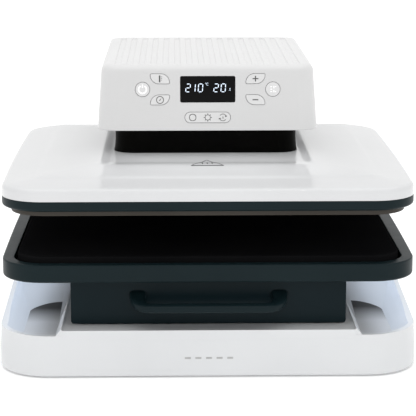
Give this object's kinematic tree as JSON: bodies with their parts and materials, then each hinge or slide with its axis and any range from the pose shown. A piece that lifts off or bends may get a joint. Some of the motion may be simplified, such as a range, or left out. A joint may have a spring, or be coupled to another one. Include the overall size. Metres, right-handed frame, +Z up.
{
  "type": "heat press",
  "caption": "Automatic flat-bed heat press: a drawer carries a padded lower platen, and a motor-driven heated platen under an overhead head with a control panel comes down on it.",
  "frame": {"origin": "on the ground under the centre of the machine's outline", "axes": "+X to the operator's right, +Y to the back, +Z up"},
  "size_m": [0.422, 0.4584, 0.3035],
  "materials": {
    "white_plastic": "glossy white moulding",
    "key_white": "satin white keys",
    "slate_plastic": "satin blue-black",
    "black_plastic": "satin black",
    "display_glass": "gloss black window",
    "silicone": "matt black sponge silicone",
    "foot_rubber": "matt black",
    "steel": "brushed",
    "zinc_steel": "zinc plated",
    "aluminium": "milled",
    "brass": "machined",
    "circuit_board": "green solder mask",
    "ceramic_board": "fibrous board"
  },
  "bodies": {
    "base": {"display_window": "display_glass", "display_module": "black_plastic", "control_board": "circuit_board", "base_shell": "white_plastic", "bottom_plate": "steel", "foot_front_left": "foot_rubber", "foot_rear_left": "foot_rubber", "foot_front_right": "foot_rubber", "foot_rear_right": "foot_rubber", "head_shell": "white_plastic", "column_cover": "white_plastic", "head_underside": "white_plastic", "guide_bush_left": "brass", "guide_bush_right": "brass", "gear_motor": "steel", "frame_left": "zinc_steel", "frame_right": "zinc_steel", "frame_base_plate": "zinc_steel", "frame_back_plate": "zinc_steel", "frame_arm_plate": "zinc_steel", "slide_outer_left": "steel", "slide_outer_right": "steel", "support_block": "black_plastic", "power_board": "circuit_board", "drawer_switch": "black_plastic", "power_inlet": "black_plastic", "switch_frame": "black_plastic", "rear_cover": "white_plastic"},
    "drawer": {"drawer_tray": "slate_plastic", "lower_platen": "aluminium", "silicone_pad": "silicone", "drawer_front": "slate_plastic", "drawer_chassis": "steel", "handle": "slate_plastic", "slide_inner_left": "steel", "slide_inner_right": "steel"},
    "slide_middle_left": {"slide_middle_left": "steel"},
    "slide_middle_right": {"slide_middle_right": "steel"},
    "press": {"platen_cover": "white_plastic", "platen_trim": "slate_plastic", "heating_platen": "aluminium", "heating_element": "steel", "insulation_board": "ceramic_board", "thermal_cutout": "black_plastic", "temperature_sensor": "brass", "crosshead_plate": "aluminium", "lead_screw": "steel", "guide_rod_left": "steel", "guide_rod_right": "steel", "neck_shroud": "black_plastic"},
    "nut": {"nut_gear": "brass"},
    "pinion": {"motor_pinion": "steel"},
    "rocker": {"switch_rocker": "black_plastic"},
    "power_key": {"power_key": "key_white"},
    "temperature_key": {"temperature_key": "key_white"},
    "timer_key": {"timer_key": "key_white"},
    "plus_key": {"plus_key": "key_white"},
    "minus_key": {"minus_key": "key_white"},
    "unit_key": {"unit_key": "key_white"},
    "mode_key": {"mode_key": "key_white"}
  },
  "joints": [
    {"name": "drawer_slide", "type": "slide", "parent": "base", "child": "drawer", "axis": [0, -1, 0], "range_m": [0, 0.3]},
    {"name": "slide_left", "type": "slide", "parent": "base", "child": "slide_middle_left", "axis": [0, -1, 0], "range_m": [0, 0.15]},
    {"name": "slide_right", "type": "slide", "parent": "base", "child": "slide_middle_right", "axis": [0, -1, 0], "range_m": [0, 0.15]},
    {"name": "press_lift", "type": "slide", "parent": "base", "child": "press", "axis": [0, 0, -1], "range_m": [0, 0.04]},
    {"name": "nut_spin", "type": "hinge", "parent": "base", "child": "nut", "pos_m": [0, -0.01525, 0.25], "axis": [0, 0, 1], "range_deg": [0, 1440]},
    {"name": "pinion_spin", "type": "hinge", "parent": "base", "child": "pinion", "pos_m": [0, 0.02555, 0.25], "axis": [0, 0, 1], "range_deg": [-4115, 0]},
    {"name": "power_key_press", "type": "slide", "parent": "base", "child": "power_key", "axis": [0, 0.9976, -0.0698], "range_m": [0, 0.0008], "stiffness_N_per_m": 700, "springref_m": -0.0006},
    {"name": "temperature_key_press", "type": "slide", "parent": "base", "child": "temperature_key", "axis": [0, 0.9976, -0.0698], "range_m": [0, 0.0008], "stiffness_N_per_m": 700, "springref_m": -0.0006},
    {"name": "timer_key_press", "type": "slide", "parent": "base", "child": "timer_key", "axis": [0, 0.9976, -0.0698], "range_m": [0, 0.0008], "stiffness_N_per_m": 700, "springref_m": -0.0006},
    {"name": "plus_key_press", "type": "slide", "parent": "base", "child": "plus_key", "axis": [0, 0.9976, -0.0698], "range_m": [0, 0.0008], "stiffness_N_per_m": 700, "springref_m": -0.0006},
    {"name": "minus_key_press", "type": "slide", "parent": "base", "child": "minus_key", "axis": [0, 0.9976, -0.0698], "range_m": [0, 0.0008], "stiffness_N_per_m": 700, "springref_m": -0.0006},
    {"name": "unit_key_press", "type": "slide", "parent": "base", "child": "unit_key", "axis": [0, 0.9976, -0.0698], "range_m": [0, 0.0008], "stiffness_N_per_m": 700, "springref_m": -0.0006},
    {"name": "mode_key_press", "type": "slide", "parent": "base", "child": "mode_key", "axis": [0, 0.9976, -0.0698], "range_m": [0, 0.0008], "stiffness_N_per_m": 700, "springref_m": -0.0006},
    {"name": "rocker_tip", "type": "hinge", "parent": "base", "child": "rocker", "pos_m": [-0.133, 0.22525, 0.0645], "axis": [1, 0, 0], "range_deg": [-16, 0]}
  ],
  "couplings": [
    {"joint": "slide_left", "follows": "drawer_slide", "ratio": 0.5},
    {"joint": "slide_right", "follows": "drawer_slide", "ratio": 0.5},
    {"joint": "nut_spin", "follows": "press_lift", "rad_per_m": 628.32},
    {"joint": "pinion_spin", "follows": "press_lift", "rad_per_m": -1795.2}
  ]
}
